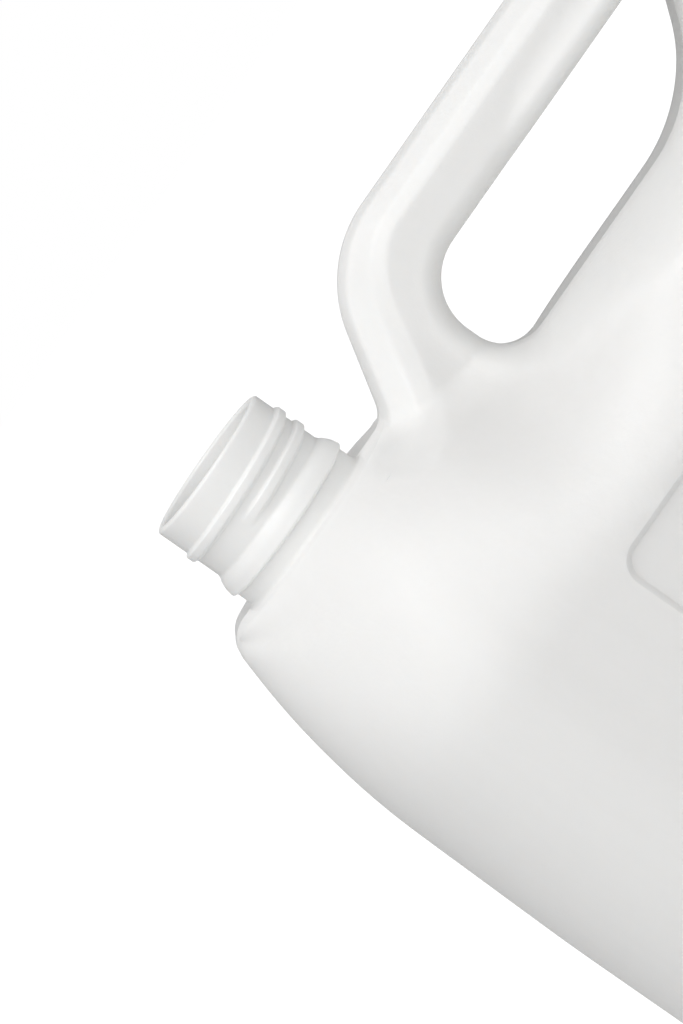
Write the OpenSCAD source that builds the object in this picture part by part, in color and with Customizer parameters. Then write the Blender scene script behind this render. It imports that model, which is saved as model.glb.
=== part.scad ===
// Blow-moulded jug for liquid soap: one hollow piece with a pouring neck at the front of its shoulder,
// a hollow grip moulded over a finger hole, a label recess on each side and a pushed-up base.
// X runs from the front wall to the back wall, Y across the side walls, and Z up from the floor.

/* [Body] */
// Length from the front wall to the back wall
jug_l = 208; // [198:1:224]
// Width across the two side walls
jug_w = 120; // [108:1:132]
// Height from the floor to the top of the grip
jug_h = 276; // [262:1:300]
// Thickness of the blown wall
wall = 1.4; // [1.2:0.1:2]
// Radius of the base's front and back corners in the side view
foot_r = 10; // [8:1:14]
// Radius of the top back corner in the side view
back_r = 34; // [28:1:38]

/* [Shoulder] */
// Drop from the top of the grip to the flat land that carries the neck
land_drop = 30; // [28:1:32]
// Half width of the land at the neck
land_half_w = 22; // [21:0.5:24]
// Height above which the front wall tapers
front_taper_z = 150; // [130:5:160]
// Taper of the upper front wall, in degrees
front_taper = 1.5; // [1:0.1:2]
// How far the front wall leans back before it turns into the land
front_lean = 11.6; // [11.2:0.2:13]
// Radius of the long sweep from the front wall into the shoulder
front_sweep_r = 170; // [150:2:176]
// Radius of the corner between the front sweep and the land
front_corner_r = 7.5; // [6:0.5:9]
// Height over which the side walls draw in to the land
shoulder_h = 49; // [44:1:56]

/* [Grip] */
// Distance from the front wall to the valley between the land and the grip
grip_x = 69; // [67:1:73]
// Slope of the front of the grip
grip_slope = 57.5; // [54:0.5:62]
// Radius at the top of the grip's front
grip_top_r = 29; // [24:1:31]
// Radius of the valley
valley_r = 6; // [4:0.5:8]
// Height of the grip's bar
bar_h = 20; // [18:0.5:23]
// Half width of the grip
grip_half_w = 13.5; // [12:0.5:15]

/* [Finger hole] */
// Distance from the front wall to the finger hole
hole_x = 95.2; // [94:0.2:99]
// Length of the finger hole along its top
hole_l = 90; // [84:1:92]
// Height of the finger hole
hole_h = 26.2; // [24:0.2:28]
// Length that the sloping back end takes off the hole's bottom
hole_back_slope = 21; // [17:1:24]

/* [Neck] */
// Distance from the front wall to the neck's axis
neck_x = 39.6; // [38.6:0.2:41]
// Radius of the neck's plain wall
neck_r = 17.7; // [17.3:0.1:18]
// Radius of the bore that the soap is poured through
bore_r = 15.5; // [14.5:0.1:15.9]
// Height of the neck above the land
neck_h = 25.6; // [23:0.2:28]
// Radius of the bead under the thread
bead_r = 19.8; // [19.5:0.1:20.2]
// Height of the bead's lower edge above the land
bead_z = 4.3; // [3:0.1:5]
// Height of the bead, with its sloping top
bead_h = 4.8; // [4:0.2:6]

/* [Label recess] */
// Distance from the front wall to the recess
panel_x = 70.5; // [68:0.5:76]
// Length of the recess
panel_l = 102; // [90:1:104]
// Height of the recess
panel_h = 142; // [110:1:150]
// Corner radius of the recess
panel_r = 4.5; // [3:0.5:10]
// Depth of the recess
panel_depth = 1.2; // [0.6:0.1:1.6]

/* [Base] */
// Height that the middle of the base is pushed up
base_lift = 3; // [1.5:0.5:5]
// Width of the rim that the jug stands on, along its sides
base_rim = 12; // [11:1:16]

/* [Hidden] */

half_w = jug_w / 2;
land_z = jug_h - land_drop;
shoulder_z = land_z - shoulder_h;
hole_top = jug_h - bar_h;
hole_bottom = hole_top - hole_h;
grip_top_x = grip_x + land_drop / tan(grip_slope);
front_angle = 17.2;          // lean of the front sweep where it ends, from the vertical
front_bend_r = 600;
// Height at which the tapered wall and the end of the sweep would meet
sweep_z = (land_z * tan(front_angle) - front_taper_z * tan(front_taper) - front_lean)
    / (tan(front_angle) - tan(front_taper));
seam_half_w = 3;             // half width of the narrowest flat strip along the mould seam

hole_front_r = 10;           // corner radii of the finger hole, from the front of its bottom
hole_back_r = 36;
hole_end_r = 6;

panel_gap = 1;               // plain wall between the recess and the shoulder
panel_draft = 45;
base_draft = 60;
base_end = 7;                // how much wider the rim of the base is at its ends
base_plan_r = 28;

// Side view of the jug: x, z and radius of each corner, from the front of the base round by the back
jug_corners = [
    [0, 0, foot_r], [jug_l, 0, foot_r], [jug_l, jug_h, back_r], [grip_top_x, jug_h, grip_top_r],
    [grip_x, land_z, valley_r], [front_lean, land_z, front_corner_r],
    [(sweep_z - front_taper_z) * tan(front_taper), sweep_z, front_sweep_r], [0, front_taper_z, front_bend_r]];
// Side view of the finger hole, from the front of its bottom
hole_corners = [
    [hole_x, hole_bottom, hole_front_r], [hole_x + hole_l - hole_back_slope, hole_bottom, hole_back_r],
    [hole_x + hole_l, hole_top, hole_end_r], [hole_x, hole_top, hole_h / 2]];

// Rounding of the walls at each part of the outline: its depth and the share of the width left flat
front_round = [42, 0.17];
land_round = [3, 0.9];
back_round = [32, 0.4];
base_round = [8, 0.9];
hole_round = [5.5, 11];      // depth at the grip and at the back of the body under it
hole_round_run = [4, 45, 6, 14];

// The grip's front and top are facets with soft edges: shares of the width at shares of the depth
facets = [[0, 0.24], [0.1, 0.55], [0.6, 0.88], [1, 1]];
post_depth = 11;
bar_depth = 7;

// The grip narrows from the land over this run, and its foot blends into the side wall
foot_run = [4, 24];
bar_run = [4, 20];
land_blend = 2;
foot_blend = 14;

// The shoulder ends above the land, is pinched in at the foot of the grip and stands higher behind it
crown = 4;
pinch = 16;
pinch_spread = 28;
back_rise = 8;
back_spread = 50;

// Rings of each skin: distances from the outline, how many lie in the middle, distances from the finger hole
arc_steps = 12;
curve_steps = 24;
outside_rings = [[0, 0.3, 1.2, 3, 6.6, 11, 18, 26, 35, 46], 3, [0, 0.4, 1.5, 4, 9, 17, 26, 34, 42]];
inside_rings = [[0, 1, 4, 10, 22, 42], 1, [0, 1.2, 4, 10, 22, 40]];
ring_share = 0.42;           // longest share of a line that the rings at one end take
handle_share = 0.3;          // length of a line's end tangents, as a share of the line
handle_max = 14;
gather = 0.8;                // how much the lines gather at the outline's corners

function unit(v) = v / norm(v);
function turned(v, a) = [v[0] * cos(a) - v[1] * sin(a), v[0] * sin(a) + v[1] * cos(a)];
function mix(a, b, t) = a + (b - a) * t;
function clamped(t) = min(max(t, 0), 1);
function smooth(t) = let(u = clamped(t)) u * u * (3 - 2 * u);
function soft_max(a, b, k) = max(a, b) + pow(max(k - abs(a - b), 0), 2) / (4 * k);
function corner(list, i) = let(p = list[(i + len(list)) % len(list)]) [p[0], p[1]];

// Arc that rounds one corner of a closed outline
function corner_arc(list, i) =
    let(b = corner(list, i), u = unit(corner(list, i - 1) - b), v = unit(corner(list, i + 1) - b),
        half = acos(u * v) / 2, r = list[i][2], centre = b + unit(u + v) * r / sin(half),
        first = b + u * r / tan(half) - centre, turn = (cross(u, v) < 0 ? 1 : -1) * (180 - 2 * half))
    [for (k = [0:arc_steps]) centre + turned(first, turn * k / arc_steps)];

// An outline holds its points, their distance along it over two rounds, and the middle of each corner
function outline(list) =
    let(points = [for (i = [0:len(list) - 1]) each corner_arc(list, i)], n = len(points),
        run = [for (i = 0, s = 0; i <= 2 * n; s = s + norm(points[(i + 1) % n] - points[i % n]), i = i + 1) s])
    [points, [for (i = [0:2 * n]) [run[i], points[i % n][0]]], [for (i = [0:2 * n]) [run[i], points[i % n][1]]],
        [for (i = [0:len(list)]) run[i * (arc_steps + 1) + arc_steps / 2]]];
function along(line, s) = [lookup(s, line[1]), lookup(s, line[2])];
function inward(line, s, side) = turned(unit(along(line, s + 0.4) - along(line, s - 0.4)), 90 * side);
function piece(line, from, to) =
    let(step = arc_steps + 1, n = len(line[0]))
    [for (i = [from * step + arc_steps / 2:to * step + arc_steps / 2]) line[0][i % n]];

jug_line = outline(jug_corners);
hole_line = outline(hole_corners);
base_edge = piece(jug_line, 0, 1);
back_edge = piece(jug_line, 1, 2);
grip_edge = piece(jug_line, 2, 4);
land_edge = piece(jug_line, 4, 5);
front_edge = piece(jug_line, 5, 8);
hole_edge = piece(hole_line, 0, 4);

// Each corner of the jug with the place on the hole that it is tied to, and the lines up to the next one
function hole_place(k, t) = mix(hole_line[3][k], hole_line[3][k + 1], t);
ties = [
    [jug_line[3][0], hole_place(0, 0.2), 13], [jug_line[3][1], hole_place(1, 0), 12],
    [jug_line[3][2], hole_place(2, 0), 11], [jug_line[3][3], hole_place(3, 0), 8],
    [jug_line[3][4], hole_place(3, 0.35), 9], [jug_line[3][5], hole_place(3, 0.65), 5],
    [jug_line[3][6], hole_place(3, 0.8), 5], [jug_line[3][7], hole_place(3, 0.95), 8],
    [jug_line[3][8], hole_line[3][4] + hole_place(0, 0.2) - hole_line[3][0], 0]];
stations = [for (k = [0:len(ties) - 2]) for (j = [0:ties[k][2] - 1])
    let(t = j / ties[k][2], eased = t - gather * sin(360 * t) / (2 * PI))
    [mix(ties[k][0], ties[k + 1][0], eased), mix(ties[k][1], ties[k + 1][1], t)]];

function curve(p, t) =
    pow(1 - t, 3) * p[0] + 3 * pow(1 - t, 2) * t * p[1] + 3 * (1 - t) * t * t * p[2] + pow(t, 3) * p[3];

// Distances shrunk where the line has too little room for them
function fitted(rings, room) = rings * min(1, room / rings[len(rings) - 1]);

// One line of the skin in the side view, from the outline to the finger hole, sunk by the wall for the inside
function skin_line(station, sunk, rings) =
    let(out = inward(jug_line, station[0], 1), in = inward(hole_line, station[1], -1),
        a = along(jug_line, station[0]) + out * sunk, b = along(hole_line, station[1]) + in * sunk,
        handle = min(handle_share * norm(b - a), handle_max),
        path = [for (k = [0:curve_steps]) curve([a, a + out * handle, b + in * handle, b], k / curve_steps)],
        run = [for (i = 0, s = 0; i <= curve_steps; s = s + norm(path[min(i + 1, curve_steps)] - path[i]),
            i = i + 1) s],
        total = run[curve_steps],
        outer = fitted(rings[0], ring_share * total), hole = fitted(rings[2], ring_share * total),
        last = outer[len(outer) - 1], next = total - hole[len(hole) - 1],
        middle = [for (k = [1:rings[1]]) mix(last, next, k / (rings[1] + 1))],
        xs = [for (i = [0:curve_steps]) [run[i], path[i][0]]], zs = [for (i = [0:curve_steps]) [run[i], path[i][1]]])
    [for (s = concat(outer, middle, [for (k = [len(hole) - 1:-1:0]) total - hole[k]])) [lookup(s, xs), lookup(s, zs)]];

function segment_gap(p, a, b) = norm(p - a - clamped((p - a) * (b - a) / ((b - a) * (b - a))) * (b - a));
function gap_to(p, edge) = min([for (i = [0:len(edge) - 2]) segment_gap(p, edge[i], edge[i + 1])]);
function rounding(gap, depth, flat) = flat + (1 - flat) * sqrt(1 - pow(1 - clamped(gap / depth), 2));

// Half of the jug's width before its edges are rounded: the side wall, drawn in over the shoulder
function full_half(p) =
    let(at_grip = smooth((p[0] - grip_x + foot_run[0]) / foot_run[1]),
        narrow = mix(land_half_w, grip_half_w, at_grip),
        top = land_z + crown + back_rise * smooth((p[0] - hole_x) / back_spread)
            - pinch * exp(-pow((p[0] - hole_x) / pinch_spread, 2)),
        rise = max((p[1] - shoulder_z) / (top - shoulder_z), 0))
    soft_max(narrow, mix(half_w, narrow, rise * rise), mix(land_blend, foot_blend, at_grip));

// Half of the jug's width at a place in the side view, with every edge rounded
function skin_half(p, sunk) =
    let(full = full_half(p),
        grip_depth = mix(post_depth, bar_depth, smooth((p[0] - grip_top_x + bar_run[0]) / bar_run[1])),
        back_low = smooth((p[0] - hole_x - hole_round_run[0]) / hole_round_run[1])
            * smooth((hole_top - hole_round_run[2] - p[1]) / hole_round_run[3]),
        share = rounding(gap_to(p, front_edge) - sunk, front_round[0], front_round[1])
            * rounding(gap_to(p, land_edge) - sunk, land_round[0], land_round[1])
            * lookup((gap_to(p, grip_edge) - sunk) / grip_depth, facets)
            * rounding(gap_to(p, back_edge) - sunk, back_round[0], back_round[1])
            * rounding(gap_to(p, base_edge) - sunk, base_round[0], base_round[1])
            * rounding(gap_to(p, hole_edge) - sunk, mix(hole_round[0], hole_round[1], back_low),
                seam_half_w / full))
    max(full * share, seam_half_w) - sunk;

// Closed skin of the body and grip, mirrored about the mould seam and open at the finger hole
module skin(sunk, rings) {
    lines = [for (station = stations) skin_line(station, sunk, rings)];
    n = len(lines);
    m = len(lines[0]);
    function id(side, i, j) = (side * n + i % n) * m + j;
    points = [for (side = [-1, 1]) for (line = lines) for (p = line)
        [p[0] - jug_l / 2, side * skin_half(p, sunk), p[1]]];
    sides = [for (i = [0:n - 1]) for (j = [0:m - 2]) each [
        [id(0, i, j), id(0, i, j + 1), id(0, i + 1, j)], [id(0, i + 1, j), id(0, i, j + 1), id(0, i + 1, j + 1)],
        [id(1, i, j), id(1, i + 1, j), id(1, i, j + 1)], [id(1, i + 1, j), id(1, i + 1, j + 1), id(1, i, j + 1)]]];
    seams = [for (i = [0:n - 1]) each [
        [id(0, i, 0), id(0, i + 1, 0), id(1, i + 1, 0), id(1, i, 0)],
        [id(0, i, m - 1), id(1, i, m - 1), id(1, i + 1, m - 1), id(0, i + 1, m - 1)]]];
    polyhedron(points, concat(sides, seams), convexity = 8);
}

// Plate with round corners and sloping edges, centred in X and Y, that widens upwards from z = 0
module sloping_plate(l, w, h, r, draft) {
    hull()
        for (x = [-1, 1], y = [-1, 1])
            translate([x * (l / 2 - r), y * (w / 2 - r), 0])
                cylinder(h = h, r1 = r, r2 = r + h * tan(draft), $fn = 32);
}

// Cutters for the label recesses, sunk by the wall for the inside
module label_recesses(sunk) {
    past_wall = 2;
    for (side = [-1, 1])
        translate([panel_x + panel_l / 2 - jug_l / 2, side * (half_w - panel_depth - sunk),
            shoulder_z - panel_gap - panel_h / 2])
            rotate([-90 * side, 0, 0])
                sloping_plate(panel_l - 2 * panel_depth, panel_h - 2 * panel_depth,
                    panel_depth + past_wall + sunk, panel_r, panel_draft);
}

// Cutter for the pushed-up base, raised by the wall for the inside
module base_push(raised) {
    slope_run = base_lift * tan(base_draft);
    past_base = 1;
    translate([0, 0, base_lift + raised])
        mirror([0, 0, 1])
            sloping_plate(jug_l - 2 * (base_rim + base_end + slope_run), jug_w - 2 * (base_rim + slope_run),
                base_lift + raised + past_base, base_plan_r, base_draft);
}

// Quarter or part of a circle in the neck's section
function neck_arc(r, z, radius, from, to) = [for (k = [0:4])
    let(a = mix(from, to, k / 4)) [r + radius * cos(a), z + radius * sin(a)]];

// Neck's outer form: a root that flares into the land, the bead under the thread, a plain wall and a round lip
module neck_form() {
    root_r = bead_r - 0.9;
    flare = 1;
    bead_round = 0.6;
    bead_flat = 0.45 * bead_h;
    bead_foot = 0.6;
    lip = 0.8;
    translate([neck_x - jug_l / 2, 0, land_z])
        rotate_extrude($fn = 96)
            polygon(concat(
                [[0, -wall / 2], [root_r + flare, -wall / 2]],
                neck_arc(root_r + flare, flare, flare, 270, 180),
                [[root_r, bead_z]],
                neck_arc(bead_r - bead_round, bead_z + bead_round, bead_round, -90, 0),
                [[bead_r, bead_z + bead_flat], [neck_r + bead_foot, bead_z + 0.9 * bead_h],
                    [neck_r, bead_z + bead_h]],
                neck_arc(neck_r - lip, neck_h - lip, lip, 0, 90),
                [[0, neck_h]]));
}

module neck_bore() {
    below_land = 8;
    translate([neck_x - jug_l / 2, 0, land_z - below_land])
        cylinder(h = below_land + neck_h + 1, r = bore_r, $fn = 96);
}

module jug() {
    color("#f3f3ee")
        difference() {
            union() {
                difference() {
                    skin(0, outside_rings);
                    label_recesses(0);
                    base_push(0);
                }
                neck_form();
            }
            difference() {
                skin(wall, inside_rings);
                label_recesses(wall);
                base_push(wall);
            }
            neck_bore();
        }
}

jug();
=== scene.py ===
import math

import bpy
import numpy as np
from mathutils import Matrix, Vector


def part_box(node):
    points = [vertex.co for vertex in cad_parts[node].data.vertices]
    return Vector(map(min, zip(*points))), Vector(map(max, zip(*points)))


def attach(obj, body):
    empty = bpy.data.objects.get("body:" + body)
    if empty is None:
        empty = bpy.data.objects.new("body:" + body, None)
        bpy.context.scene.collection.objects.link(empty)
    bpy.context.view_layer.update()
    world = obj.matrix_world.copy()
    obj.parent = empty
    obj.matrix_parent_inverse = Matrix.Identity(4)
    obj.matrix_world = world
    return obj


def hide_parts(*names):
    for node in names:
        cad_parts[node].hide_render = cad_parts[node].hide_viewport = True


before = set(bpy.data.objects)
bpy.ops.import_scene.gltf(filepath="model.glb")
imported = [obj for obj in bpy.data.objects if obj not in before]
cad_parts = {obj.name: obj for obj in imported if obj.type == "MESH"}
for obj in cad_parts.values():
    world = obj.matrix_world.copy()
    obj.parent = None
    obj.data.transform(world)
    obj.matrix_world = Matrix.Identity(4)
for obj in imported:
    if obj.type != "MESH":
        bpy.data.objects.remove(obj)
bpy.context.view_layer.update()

# The body, shoulder and grip are one tube of natural polyethylene, blown out against a two-part steel mould.
# In the side view it is a closed outline with the finger hole in it. Its walls are as wide as the jug in the
# middle and draw in, rounded, to the mould seam all along the outline and round the hole.
jug_l, jug_w, jug_h = (1000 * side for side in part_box("jug")[1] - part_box("jug")[0])
wall = 1.4
half_w = jug_w / 2
land_z = jug_h - 30
shoulder_z = land_z - 49
land_half_w, grip_half_w, seam_half_w = 22, 13.5, 3
grip_x, hole_x = 69, 95.2
hole_top = jug_h - 20
hole_h = 26.2
hole_bottom = hole_top - hole_h
hole_back = hole_x + 90
grip_top_x = grip_x + (jug_h - land_z) / math.tan(math.radians(57.5))
front_lean, taper_z = 11.6, 150
sweep, taper = math.tan(math.radians(17.2)), math.tan(math.radians(1.5))
sweep_z = (land_z * sweep - taper_z * taper - front_lean) / (sweep - taper)
front_round, back_round, base_round, land_round = (42, 0.17), (32, 0.4), (8, 0.9), (3, 0.9)
hole_front_round, hole_back_round = 5.5, 11
post_depth, bar_depth = 11, 7
land_blend, foot_blend = 2, 14
crown, pinch = 4, 16
seam_line = 0.2

jug_corners = [
    (0, 0, 10), (jug_l, 0, 10), (jug_l, jug_h, 34), (grip_top_x, jug_h, 29),
    (grip_x, land_z, 6), (front_lean, land_z, 7.5), ((sweep_z - taper_z) * taper, sweep_z, 170), (0, taper_z, 600)]
hole_corners = [
    (hole_x, hole_bottom, 10), (hole_back - 21, hole_bottom, 36), (hole_back, hole_top, 6),
    (hole_x, hole_top, hole_h / 2)]


class Outline:
    """A closed outline of the side view with round corners, walked by the distance along it."""

    def __init__(self, corners, arc_steps=24):
        points = []
        for k, (x, z, radius) in enumerate(corners):
            here = np.array((x, z))
            before, after = (np.array(corners[(k + step) % len(corners)][:2]) - here for step in (-1, 1))
            before, after = before / np.linalg.norm(before), after / np.linalg.norm(after)
            half = math.acos(before @ after) / 2
            centre = here + (before + after) / np.linalg.norm(before + after) * radius / math.sin(half)
            first = here + before * radius / math.tan(half) - centre
            way = -np.sign(before[0] * after[1] - before[1] * after[0])
            for angle in np.linspace(0, way * (math.pi - 2 * half), arc_steps + 1):
                cos, sin = math.cos(angle), math.sin(angle)
                points.append(centre + (first[0] * cos - first[1] * sin, first[0] * sin + first[1] * cos))
        loop = np.array(points + points[:1])
        run = np.concatenate([[0], np.cumsum(np.linalg.norm(np.diff(loop, axis=0), axis=1))])
        self.count, self.per_corner = len(corners), arc_steps + 1
        self.run = np.concatenate([run[:-1], run + run[-1]])
        self.loop = np.concatenate([loop[:-1], loop])

    def middle(self, corner):
        """Distance to the middle of a corner, or to a place between two corners."""
        middles = [self.run[k * self.per_corner + self.per_corner // 2] for k in range(2 * self.count)]
        return np.interp(corner, range(2 * self.count), middles)

    def at(self, distance):
        return np.stack([np.interp(distance, self.run, self.loop[:, axis]) for axis in (0, 1)], -1)

    def inward(self, distance, side):
        along = self.at(distance + 0.4) - self.at(np.abs(distance - 0.4))
        along = along / np.linalg.norm(along, axis=-1, keepdims=True)
        return side * np.stack([-along[..., 1], along[..., 0]], -1)

    def stretch(self, start, stop):
        inside = (self.run > self.middle(start)) & (self.run < self.middle(stop))
        return self.at(np.concatenate([[self.middle(start)], self.run[inside], [self.middle(stop)]]))


jug_outline, hole_outline = Outline(jug_corners), Outline(hole_corners)
base_edge, back_edge = jug_outline.stretch(0, 1), jug_outline.stretch(1, 2)
grip_edge, land_edge = jug_outline.stretch(2, 4), jug_outline.stretch(4, 5)
front_edge, hole_edge = jug_outline.stretch(5, 8), hole_outline.stretch(0, 4)


def gap_to(points, edge):
    """Distance of each point from an edge of the side view."""
    steps = np.diff(edge, axis=0)
    kept = (steps ** 2).sum(1) > 1e-9
    starts, steps = edge[:-1][kept], steps[kept]
    away = points[..., None, :] - starts
    share = np.clip((away * steps).sum(-1) / (steps ** 2).sum(-1), 0, 1)
    return np.sqrt(((away - share[..., None] * steps) ** 2).sum(-1)).min(-1)


def smooth(share):
    share = np.clip(share, 0, 1)
    return share * share * (3 - 2 * share)


def rounding(gap, depth, flat):
    """Share of the full width at a gap from an edge: flat at the edge itself, and full from the depth on."""
    return flat + (1 - flat) * np.sqrt(1 - (1 - np.clip(gap / depth, 0, 1)) ** 2)


def faceted(gap, depth):
    """The grip's front and top: a flat strip along the seam, two facets beside it and soft edges between them."""
    shares = np.arange(0, 1.4, 0.01)
    straight = np.interp(shares, (0, 0.1, 0.6, 1), (0.24, 0.55, 0.88, 1))
    soft = np.convolve(np.pad(straight, 6, "edge"), np.hanning(15)[1:-1] / np.hanning(15).sum(), "valid")
    soft[:7] = straight[:7] + (soft[:7] - straight[:7]) * np.arange(7) / 7
    return np.interp(gap / depth, shares, soft)


def half_width(points, sunk):
    """Half of the jug's width at points of the side view, sunk by the wall for the inside."""
    x, z = points[..., 0], points[..., 1]
    at_grip = smooth((x - grip_x + 4) / 24)
    narrow = land_half_w + (grip_half_w - land_half_w) * at_grip
    top = land_z + crown + 2 * crown * smooth((x - hole_x) / 50) - pinch * np.exp(-((x - hole_x) / 28) ** 2)
    rise = np.maximum((z - shoulder_z) / (top - shoulder_z), 0)
    dome = half_w + (narrow - half_w) * rise ** 2
    blend = land_blend + (foot_blend - land_blend) * at_grip
    full = np.maximum(narrow, dome) + np.maximum(blend - abs(narrow - dome), 0) ** 2 / (4 * blend)
    grip_depth = post_depth + (bar_depth - post_depth) * smooth((x - grip_top_x + 4) / 20)
    back_low = smooth((x - hole_x - 4) / 45) * smooth((hole_top - 6 - z) / 14)
    hole_depth = hole_front_round + (hole_back_round - hole_front_round) * back_low
    share = rounding(gap_to(points, front_edge) - sunk, *front_round)
    share = share * rounding(gap_to(points, land_edge) - sunk, *land_round)
    share = share * faceted(gap_to(points, grip_edge) - sunk, grip_depth)
    share = share * rounding(gap_to(points, back_edge) - sunk, *back_round)
    share = share * rounding(gap_to(points, base_edge) - sunk, *base_round)
    share = share * rounding(gap_to(points, hole_edge) - sunk, hole_depth, seam_half_w / full)
    return np.maximum(full * share, seam_half_w) - sunk


def stations(density):
    """Pairs of places on the jug's outline and on the hole's, gathered at the corners of the jug.

    A tie is a corner of the jug, the place by the hole that it is joined to, and the lines up to the next tie.
    """
    ties = [(0, 0.2, 13), (1, 1, 12), (2, 2, 11), (3, 3, 8), (4, 3.2, 12), (5, 3.85, 5), (6, 3.92, 5),
            (7, 4, 8), (8, 4.2, 0)]
    pairs = []
    for (corner, place, count), (next_corner, next_place, _) in zip(ties, ties[1:]):
        share = np.arange(count * density)[:, None] / (count * density)
        eased = share - 0.8 * np.sin(2 * math.pi * share) / (2 * math.pi)
        ends = [jug_outline.middle(corner), jug_outline.middle(next_corner)]
        holes = [hole_outline.middle(place), hole_outline.middle(next_place)]
        pairs.append(np.hstack([ends[0] + (ends[1] - ends[0]) * eased, holes[0] + (holes[1] - holes[0]) * share]))
    return np.concatenate(pairs)


def solid(name, points, faces):
    """An object made of points in millimetres, measured from the front wall, and faces."""
    mesh = bpy.data.meshes.new(name)
    mesh.from_pydata([((x - jug_l / 2) / 1000, y / 1000, z / 1000) for x, y, z in points], [], faces)
    mesh.update()
    made = bpy.data.objects.new(name, mesh)
    bpy.context.scene.collection.objects.link(made)
    return made


def stacked(name, points, around):
    """A closed solid made of rings of points, one above the other, with flat ends."""
    faces = [tuple(range(around))[::-1], tuple(range(len(points) - around, len(points)))]
    for ring in range(0, len(points) - around, around):
        for k in range(around):
            after = (k + 1) % around
            faces.append((ring + k, ring + after, ring + around + after, ring + around + k))
    return solid(name, points, faces)


def skin(name, sunk, density, rings, seam_rise):
    """The blown skin: lines from the outline to the finger hole on both sides, joined along the mould seam.

    Each cell between the lines is split along its shorter diagonal, which keeps the slanting cells even.
    """
    places = stations(density)
    out, hole_out = jug_outline.inward(places[:, 0], 1), hole_outline.inward(places[:, 1], -1)
    rise = seam_rise * smooth(jug_outline.at(places[:, 0])[:, 1:] / 12 - 0.5)
    start = jug_outline.at(places[:, 0]) + out * (sunk + rise)
    stop = hole_outline.at(places[:, 1]) + hole_out * (sunk + seam_rise)
    handle = np.minimum(0.2 * np.linalg.norm(stop - start, axis=1), 7)[:, None]
    t = np.linspace(0, 1, 49)[:, None, None]
    path = ((1 - t) ** 3 * start + 3 * (1 - t) ** 2 * t * (start + out * handle)
            + 3 * (1 - t) * t ** 2 * (stop + hole_out * handle) + t ** 3 * stop)
    run = np.concatenate([np.zeros((1, len(places))), np.cumsum(np.linalg.norm(np.diff(path, axis=0), axis=2), 0)])
    total = run[-1]
    end_rings, middle_rings = rings
    near = np.outer(np.minimum(46, 0.42 * total), (np.arange(end_rings) / (end_rings - 1)) ** 2)
    share = np.arange(1, middle_rings + 1) / (middle_rings + 1)
    middle = near[:, -1:] + np.outer(total - 2 * near[:, -1], share)
    steps = np.hstack([near, middle, total[:, None] - near[:, ::-1]])
    plan = np.array([[np.interp(row, run[:, k], path[:, k, axis]) for axis in (0, 1)]
                     for k, row in enumerate(steps)]).transpose(0, 2, 1)
    width = half_width(plan, sunk)
    n, m = width.shape
    across = [0.5, 0.2] if seam_rise else []
    points = []
    for side in (-1, 1):
        points += [(x, side * y, z) for row, ys in zip(plan, width) for (x, z), y in zip(row, ys)]
    faces = []
    for i in range(n):
        after = (i + 1) % n
        for j in range(m - 1):
            a, b, c, d = i * m + j, i * m + j + 1, after * m + j + 1, after * m + j
            if math.dist(points[a], points[c]) > math.dist(points[b], points[d]):
                a, b, c, d = b, c, d, a
            for triangle in ((a, b, c), (a, c, d)):
                faces += [triangle[::-1], tuple(n * m + corner for corner in triangle)]
    for ring, end, lift in ((0, start, out * rise), (m - 1, stop, hole_out * seam_rise)):
        columns = [[i * m + ring for i in range(n)]]
        for side in (-1, 1):
            for y in across if side < 0 else across[::-1]:
                columns.append(list(range(len(points), len(points) + n)))
                raised = y == across[-1]
                points += [(x, side * y, z) for x, z in (end - lift if raised else end)]
        columns.append([n * m + i * m + ring for i in range(n)])
        for left, right in zip(columns, columns[1:]):
            for i in range(n):
                face = (left[i], left[(i + 1) % n], right[(i + 1) % n], right[i])
                faces.append(face[::-1] if ring == 0 else face)
    return solid(name, points, faces)


# The label recess on each side is flat and shallow, with a soft rounded edge, and the base is pushed up in the
# middle so that the jug stands on a rim. Both are pressed in by the mould, so the inside of the wall follows.
def sunken_plate(name, size, corner, depth, slope, edges, turn, place, thicker=0.0):
    """A cutter with a flat floor, a slope up to the wall and rounded edges at its foot and its rim."""
    foot, rim = edges
    profile = [(-foot * math.tan(slope / 2) + foot * math.sin(a), foot * (1 - math.cos(a)))
               for a in np.linspace(0, slope, 5)]
    profile += [(depth / math.tan(slope) + rim * math.tan(slope / 2) - rim * math.sin(a),
                 depth - rim * (1 - math.cos(a))) for a in np.linspace(slope, 0, 5)[:-1]]
    reach = profile[-1][0] + 0.4 * rim
    profile += [(reach, depth + 0.01), (reach, depth + 2 + thicker)]
    points = []
    for grow, rise in profile:
        for x, y, start in ((1, 1, 0), (-1, 1, 90), (-1, -1, 180), (1, -1, 270)):
            for a in np.radians(np.linspace(start, start + 90, 17)):
                spot = Vector((x * (size[0] / 2 - corner) + (corner + grow) * math.cos(a),
                               y * (size[1] / 2 - corner) + (corner + grow) * math.sin(a), rise))
                points.append(tuple(turn @ spot + Vector(place)))
    return stacked(name, points, len(points) // len(profile))


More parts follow.
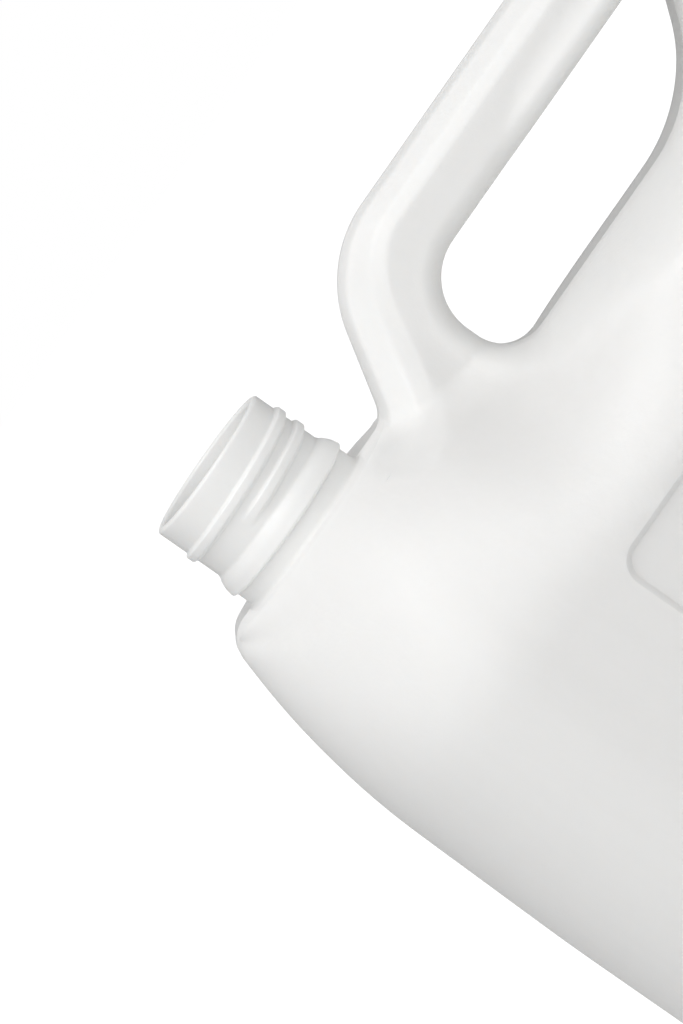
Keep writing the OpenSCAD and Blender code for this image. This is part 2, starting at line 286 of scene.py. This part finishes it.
def pressed_in(sunk):
    """Cutters for the two label recesses and for the pushed-up base."""
    panel_x, panel_l, panel_h, panel_depth = 70.5, 102, 142, 1.2
    rim, lift = 12, 3
    cutters = []
    for side in (-1, 1):
        cutters.append(sunken_plate(
            "label_cutter", (panel_l - 2 * panel_depth, panel_h - 2 * panel_depth), 4.5, panel_depth,
            math.radians(45), (0.5, 0.5), Matrix.Rotation(math.radians(-90 * side), 3, "X"),
            (panel_x + panel_l / 2, side * (half_w - panel_depth - sunk), shoulder_z - 1 - panel_h / 2), sunk))
    run = 2 * lift * math.tan(math.radians(60))
    cutters.append(sunken_plate(
        "base_cutter", (jug_l - 2 * rim - run - 14, jug_w - 2 * rim - run), 28, lift, math.radians(30), (3, 2),
        Matrix.Rotation(math.pi, 3, "X"), (jug_l / 2, 0, lift + sunk), sunk))
    return cutters


def combined(piece, how, others):
    """Adds solids to a piece or takes them out of it."""
    for other in others:
        step = piece.modifiers.new(how, "BOOLEAN")
        step.operation, step.solver, step.object = how, "MANIFOLD", other
        shape = bpy.data.meshes.new_from_object(piece.evaluated_get(bpy.context.evaluated_depsgraph_get()))
        piece.modifiers.remove(step)
        bpy.data.meshes.remove(other.data)
        old, piece.data = piece.data, shape
        bpy.data.meshes.remove(old)
    return piece


# The neck is blown and trimmed with the body. It carries a bead that stops the cap, one right-hand thread of
# about one and a half turns, and a lip that is rounded outside and inside.
neck_x, neck_r, bore_r, neck_h = 39.6, 17.7, 15.5, 25.6
bead_r, bead_z, bead_h = 19.8, 4.3, 4.8
thread_pitch, thread_depth, thread_turns = 4.8, 1.05, 1.6
thread_start, thread_foot = -0.3, 14.1


def revolved(name, rings, around, shape=lambda angle, radius, height: radius):
    """A closed solid turned about the neck's axis, where shape may raise a ring's radius round the turn."""
    points = []
    for radius, height in rings:
        for angle in np.linspace(0, 2 * math.pi, around, endpoint=False):
            r = shape(angle, radius, height)
            points.append((neck_x + r * math.cos(angle), r * math.sin(angle), land_z + height))
    return stacked(name, points, around)


def threaded(angle, radius, height):
    """The thread's ridge, which starts and ends in a short ramp, and the mould seam beside it."""
    turn = angle / (2 * math.pi)
    raised = 0.0
    for lap in (-1, 0, 1, 2):
        along = turn + lap - thread_start
        if 0 <= along <= thread_turns:
            off = abs(height - thread_foot - (turn + lap) * thread_pitch)
            ramp = min(1, along / 0.06, (thread_turns - along) / 0.06)
            raised = max(raised, ramp * thread_depth * (1 - smooth((off - 0.75) / 0.9)))
    seam = 0.2 if min(angle % math.pi, math.pi - angle % math.pi) < 0.02 and height > bead_z + bead_h else 0
    return radius + max(raised, seam)


root_r, flare, lip = bead_r - 0.9, 1.2, 0.8
rings = [(root_r + flare + 0.2, -wall / 2), (root_r + flare + 0.1, -0.25)]
rings += [(root_r + flare - flare * math.sin(a), flare - flare * math.cos(a) - 0.2)
          for a in np.linspace(0.2, math.pi / 2, 7)]
rings += [(root_r, bead_z - 0.15), (bead_r - 0.5, bead_z)]
rings += [(bead_r - 0.5 + 0.5 * math.cos(a), bead_z + 0.55 + 0.5 * math.sin(a))
          for a in np.radians(np.linspace(-75, 30, 7))]
rings += [(bead_r - 0.25, bead_z + 2), (bead_r - 0.6, bead_z + 3), (neck_r + 1, bead_z + 4),
          (neck_r + 0.5, bead_z + 4.6), (neck_r + 0.15, bead_z + 5), (neck_r, bead_z + 5.4)]
rings += [(neck_r, height) for height in np.arange(bead_z + 5.6, neck_h - lip, 0.2)]
rings += [(neck_r - lip + lip * math.cos(a), neck_h - lip + lip * math.sin(a))
          for a in np.linspace(0, math.pi / 2, 7)]
neck = revolved("neck", rings, 240, threaded)
bore = revolved("bore", [(bore_r, -9), (bore_r, neck_h - 0.7), (bore_r + 0.1, neck_h - 0.35),
                         (bore_r + 0.4, neck_h - 0.1), (bore_r + 0.7, neck_h + 0.02), (bore_r + 0.7, neck_h + 1)], 240)

# The finished moulding: the blown skin with its pressed-in places and its neck, hollow right through to the
# mouth. It is one piece, so it has one mesh with a true wall.
jug = combined(skin("jug_moulding", 0, 4, (22, 6), seam_line), "DIFFERENCE", pressed_in(0))
hollow = combined(skin("hollow", wall, 2, (13, 4), 0), "DIFFERENCE", pressed_in(wall))
jug = combined(jug, "UNION", [neck])
hollow = combined(hollow, "UNION", [bore])
jug = combined(jug, "DIFFERENCE", [hollow])
jug.data.shade_smooth()
jug.data.set_sharp_from_angle(angle=math.radians(60))


class Socket:
    """A shader socket that is used like a number: 0.36 + 0.12 * clouds adds its two Math nodes."""

    def __init__(self, tree, socket=None):
        self.tree = tree
        self.socket = socket

    def node(self, kind, settings=None, inputs=None, output=0):
        """Adds a node, sets it up, fills its sockets with values or links, and gives one of its outputs."""
        made = self.tree.nodes.new("ShaderNode" + kind)
        for name, value in (settings or {}).items():
            setattr(made, name, value)
        for name, value in (inputs or {}).items():
            if isinstance(value, Socket):
                self.tree.links.new(value.socket, made.inputs[name])
            else:
                made.inputs[name].default_value = value
        return Socket(self.tree, made.outputs[output] if len(made.outputs) else None)

    def math(self, operation, *values):
        return self.node("Math", {"operation": operation}, dict(enumerate(values)))

    def __add__(self, other):
        return self.math("ADD", self, other)

    def __mul__(self, other):
        return self.math("MULTIPLY", self, other)

    __radd__, __rmul__ = __add__, __mul__


def natural_polyethylene(tree):
    """Milky, slightly translucent polyethylene with a satin skin and the faint streaks of its blown tube."""
    tree.nodes.clear()
    start = Socket(tree)
    place = start.node("TexCoord", output="Object")
    drawn = start.node("Mapping", inputs={"Vector": place, "Scale": (1, 1, 0.06)})
    streaks = start.node("TexNoise", inputs={"Vector": drawn, "Scale": 260, "Detail": 3}, output="Fac")
    clouds = start.node("TexNoise", inputs={"Vector": place, "Scale": 14, "Detail": 2}, output="Fac")
    peel = start.node("TexNoise", inputs={"Vector": place, "Scale": 700, "Detail": 2}, output="Fac")
    shade = 0.5 * streaks + 0.5 * clouds
    colour = start.node("Mix", {"data_type": "RGBA"}, {
        0: shade, 6: (0.87, 0.87, 0.86, 1), 7: (0.91, 0.91, 0.90, 1)}, output=2)
    bump = start.node("Bump", inputs={"Strength": 0.12, "Distance": 0.0004, "Height": peel + 0.6 * streaks})
    surface = start.node("BsdfPrincipled", {"subsurface_method": "RANDOM_WALK"}, {
        "Base Color": colour, "Roughness": 0.36 + 0.12 * clouds, "Normal": bump, "IOR": 1.5,
        "Subsurface Weight": 0.6, "Subsurface Radius": (0.9, 0.95, 1), "Subsurface Scale": 0.002})
    start.node("OutputMaterial", inputs={"Surface": surface})


moulded = bpy.data.materials.new("natural_polyethylene")
moulded.use_nodes = True
natural_polyethylene(moulded.node_tree)
jug.data.materials.clear()
jug.data.materials.append(moulded)
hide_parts("jug")
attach(jug, "root")

# A pale floor that the jug stands on. It shows white, as the photograph's background does, and keeps a soft
# shadow of the jug.
bpy.ops.mesh.primitive_plane_add(size=12)
floor = bpy.context.object
floor.name = "floor"
floor_paint = bpy.data.materials.new("floor_paint")
floor_paint.use_nodes = True
floor_paint.node_tree.nodes.clear()
start = Socket(floor_paint.node_tree)
rays = start.node("LightPath", output="Is Camera Ray")
pale = start.node("BsdfDiffuse", inputs={"Color": (0.85, 0.85, 0.85, 1)})
white = start.node("Emission", inputs={"Color": (1, 1, 1, 1), "Strength": 1.65})
shown = start.node("MixShader", inputs={0: 0.6 * rays, 1: pale, 2: white})
start.node("OutputMaterial", inputs={"Surface": shown})
floor.data.materials.append(floor_paint)

# Plain studio light: a white surround and four soft lamps above the jug on the camera's side.
world = bpy.data.worlds.new("studio")
bpy.context.scene.world = world
world.use_nodes = True
world.node_tree.nodes.clear()
start = Socket(world.node_tree)
surround = 0.4
camera_rays = start.node("LightPath", output="Is Camera Ray")
backdrop = start.node("Background", inputs={
    "Color": (1, 1, 1, 1), "Strength": surround + (1 - surround) * camera_rays})
start.node("OutputWorld", inputs={"Surface": backdrop})
lit_place = Vector((-0.03, 0, 0.2))
for name, place, size, power in (
        ("key_lamp", (-0.15, -0.75, 0.85), 0.8, 3.3), ("front_lamp", (-1.3, -0.7, 0.9), 1.0, 2.6),
        ("back_lamp", (0.45, -0.6, 0.75), 0.5, 0.6), ("top_lamp", (-0.1, -0.3, 1.15), 0.4, 2.3)):
    lamp = bpy.data.lights.new(name, "AREA")
    lamp.shape, lamp.size, lamp.energy = "SQUARE", size, power
    made = bpy.data.objects.new(name, lamp)
    bpy.context.scene.collection.objects.link(made)
    made.location = place
    made.rotation_euler = (Vector(place) - lit_place).to_track_quat("Z", "Y").to_euler()

# The camera looks square at the jug's side wall, a little from above, and is rolled so that the jug is tipped
# for pouring, as in the photograph, which shows only its upper front half.
photo_h = 1024
px_per_mm = 4.69
distance, above, lean = 1.2, math.radians(6.3), math.radians(55)
aim = Vector((-0.0563, 0, 0.2418))
back = Vector((0, -math.cos(above), math.sin(above)))
level = Vector((0, 0, 1)).cross(back).normalized()
upright = back.cross(level)
right = math.cos(lean) * level - math.sin(lean) * upright
up = math.sin(lean) * level + math.cos(lean) * upright
lens = bpy.data.cameras.new("camera")
lens.sensor_fit = "VERTICAL"
lens.sensor_height = 24
lens.lens = 24 * px_per_mm * 1000 * distance / photo_h
camera = bpy.data.objects.new("camera", lens)
bpy.context.scene.collection.objects.link(camera)
camera.matrix_world = Matrix.Translation(aim + back * distance) @ Matrix((right, up, back)).transposed().to_4x4()
bpy.context.scene.camera = camera
bpy.context.scene.view_settings.view_transform = "Standard"
